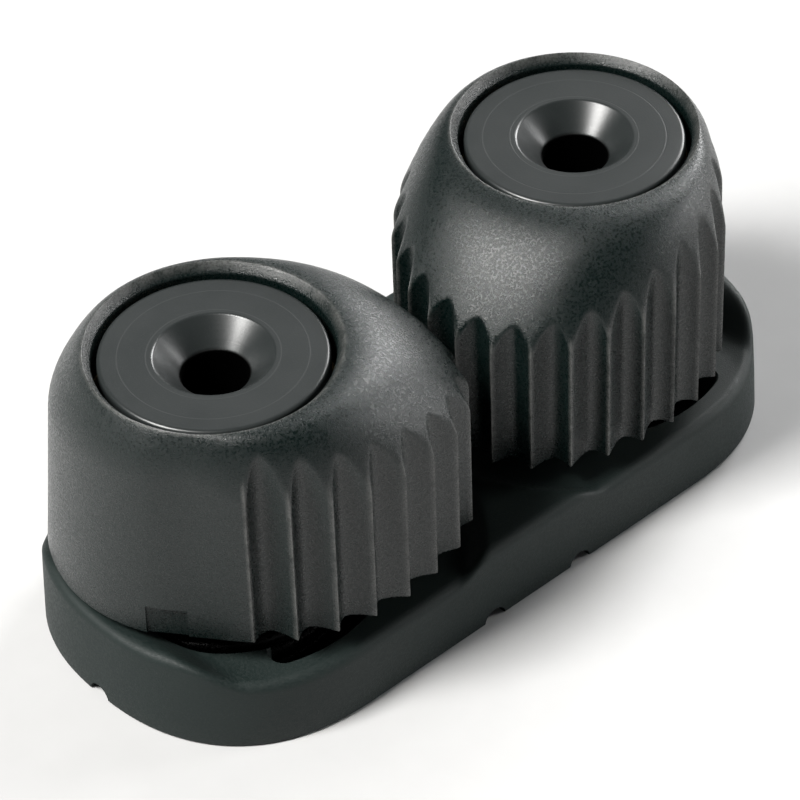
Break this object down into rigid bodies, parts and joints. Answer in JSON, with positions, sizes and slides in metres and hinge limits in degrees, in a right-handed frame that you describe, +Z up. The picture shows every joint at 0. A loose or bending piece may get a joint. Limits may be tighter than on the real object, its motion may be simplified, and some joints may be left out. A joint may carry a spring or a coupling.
{
  "type": "cam cleat",
  "caption": "Rope cleat: two fluted, spring-closed cams turning on ball rows around flanged hubs, on a long oval base with drain notches; a line is pulled down and held between the cams.",
  "frame": {"origin": "centre of the base's flat underside, midway between the two screw holes", "axes": "+X through the two screw holes, from the left cam to the right one; -Y to the tail side, where the noses swing as the cams open; +Z up off the deck"},
  "size_m": [0.0654, 0.0308, 0.0279],
  "materials": {
    "base_plastic": "moulded dark green-grey nylon with a fine matte spark texture",
    "cam_plastic": "black fibre-filled nylon, finely mottled with a warm grey sheen, worn along the edges of the flutes",
    "hub_plastic": "smooth satin dark grey acetal with faint turning rings",
    "ball_plastic": "polished cream polymer balls",
    "race_steel": "ground stainless washer",
    "spring_steel": "dark drawn spring wire"
  },
  "bodies": {
    "base": {"base": "base_plastic", "hub_left": "hub_plastic", "hub_right": "hub_plastic", "lower_race_left": "race_steel", "lower_race_right": "race_steel"},
    "cam_left": {"cam_left": "cam_plastic", "spring_left": "spring_steel"},
    "cam_right": {"cam_right": "cam_plastic", "spring_right": "spring_steel"},
    "balls_left": {"ball_left_upper_1": "ball_plastic", "ball_left_upper_2": "ball_plastic", "ball_left_upper_3": "ball_plastic", "ball_left_upper_4": "ball_plastic", "ball_left_upper_5": "ball_plastic", "ball_left_upper_6": "ball_plastic", "ball_left_upper_7": "ball_plastic", "ball_left_upper_8": "ball_plastic", "ball_left_upper_9": "ball_plastic", "ball_left_upper_10": "ball_plastic", "ball_left_upper_11": "ball_plastic", "ball_left_lower_1": "ball_plastic", "ball_left_lower_2": "ball_plastic", "ball_left_lower_3": "ball_plastic", "ball_left_lower_4": "ball_plastic", "ball_left_lower_5": "ball_plastic", "ball_left_lower_6": "ball_plastic", "ball_left_lower_7": "ball_plastic", "ball_left_lower_8": "ball_plastic", "ball_left_lower_9": "ball_plastic", "ball_left_lower_10": "ball_plastic", "ball_left_lower_11": "ball_plastic"},
    "balls_right": {"ball_right_upper_1": "ball_plastic", "ball_right_upper_2": "ball_plastic", "ball_right_upper_3": "ball_plastic", "ball_right_upper_4": "ball_plastic", "ball_right_upper_5": "ball_plastic", "ball_right_upper_6": "ball_plastic", "ball_right_upper_7": "ball_plastic", "ball_right_upper_8": "ball_plastic", "ball_right_upper_9": "ball_plastic", "ball_right_upper_10": "ball_plastic", "ball_right_upper_11": "ball_plastic", "ball_right_lower_1": "ball_plastic", "ball_right_lower_2": "ball_plastic", "ball_right_lower_3": "ball_plastic", "ball_right_lower_4": "ball_plastic", "ball_right_lower_5": "ball_plastic", "ball_right_lower_6": "ball_plastic", "ball_right_lower_7": "ball_plastic", "ball_right_lower_8": "ball_plastic", "ball_right_lower_9": "ball_plastic", "ball_right_lower_10": "ball_plastic", "ball_right_lower_11": "ball_plastic"}
  },
  "joints": [
    {"name": "cam_left_pivot", "type": "hinge", "parent": "base", "child": "cam_left", "pos_m": [-0.019, 0, 0.0175], "axis": [0, 0, -1], "range_deg": [0, 68], "stiffness_Nm_per_rad": 0.02, "springref_deg": -45.84},
    {"name": "cam_right_pivot", "type": "hinge", "parent": "base", "child": "cam_right", "pos_m": [0.019, 0, 0.0175], "axis": [0, 0, 1], "range_deg": [0, 68], "stiffness_Nm_per_rad": 0.02, "springref_deg": -45.84},
    {"name": "balls_left_roll", "type": "hinge", "parent": "base", "child": "balls_left", "pos_m": [-0.019, 0, 0.0175], "axis": [0, 0, -1], "range_deg": [0, 44]},
    {"name": "balls_right_roll", "type": "hinge", "parent": "base", "child": "balls_right", "pos_m": [0.019, 0, 0.0175], "axis": [0, 0, 1], "range_deg": [0, 44]}
  ],
  "couplings": [
    {"joint": "balls_left_roll", "follows": "cam_left_pivot", "ratio": 0.6382},
    {"joint": "balls_right_roll", "follows": "cam_right_pivot", "ratio": 0.6382}
  ]
}
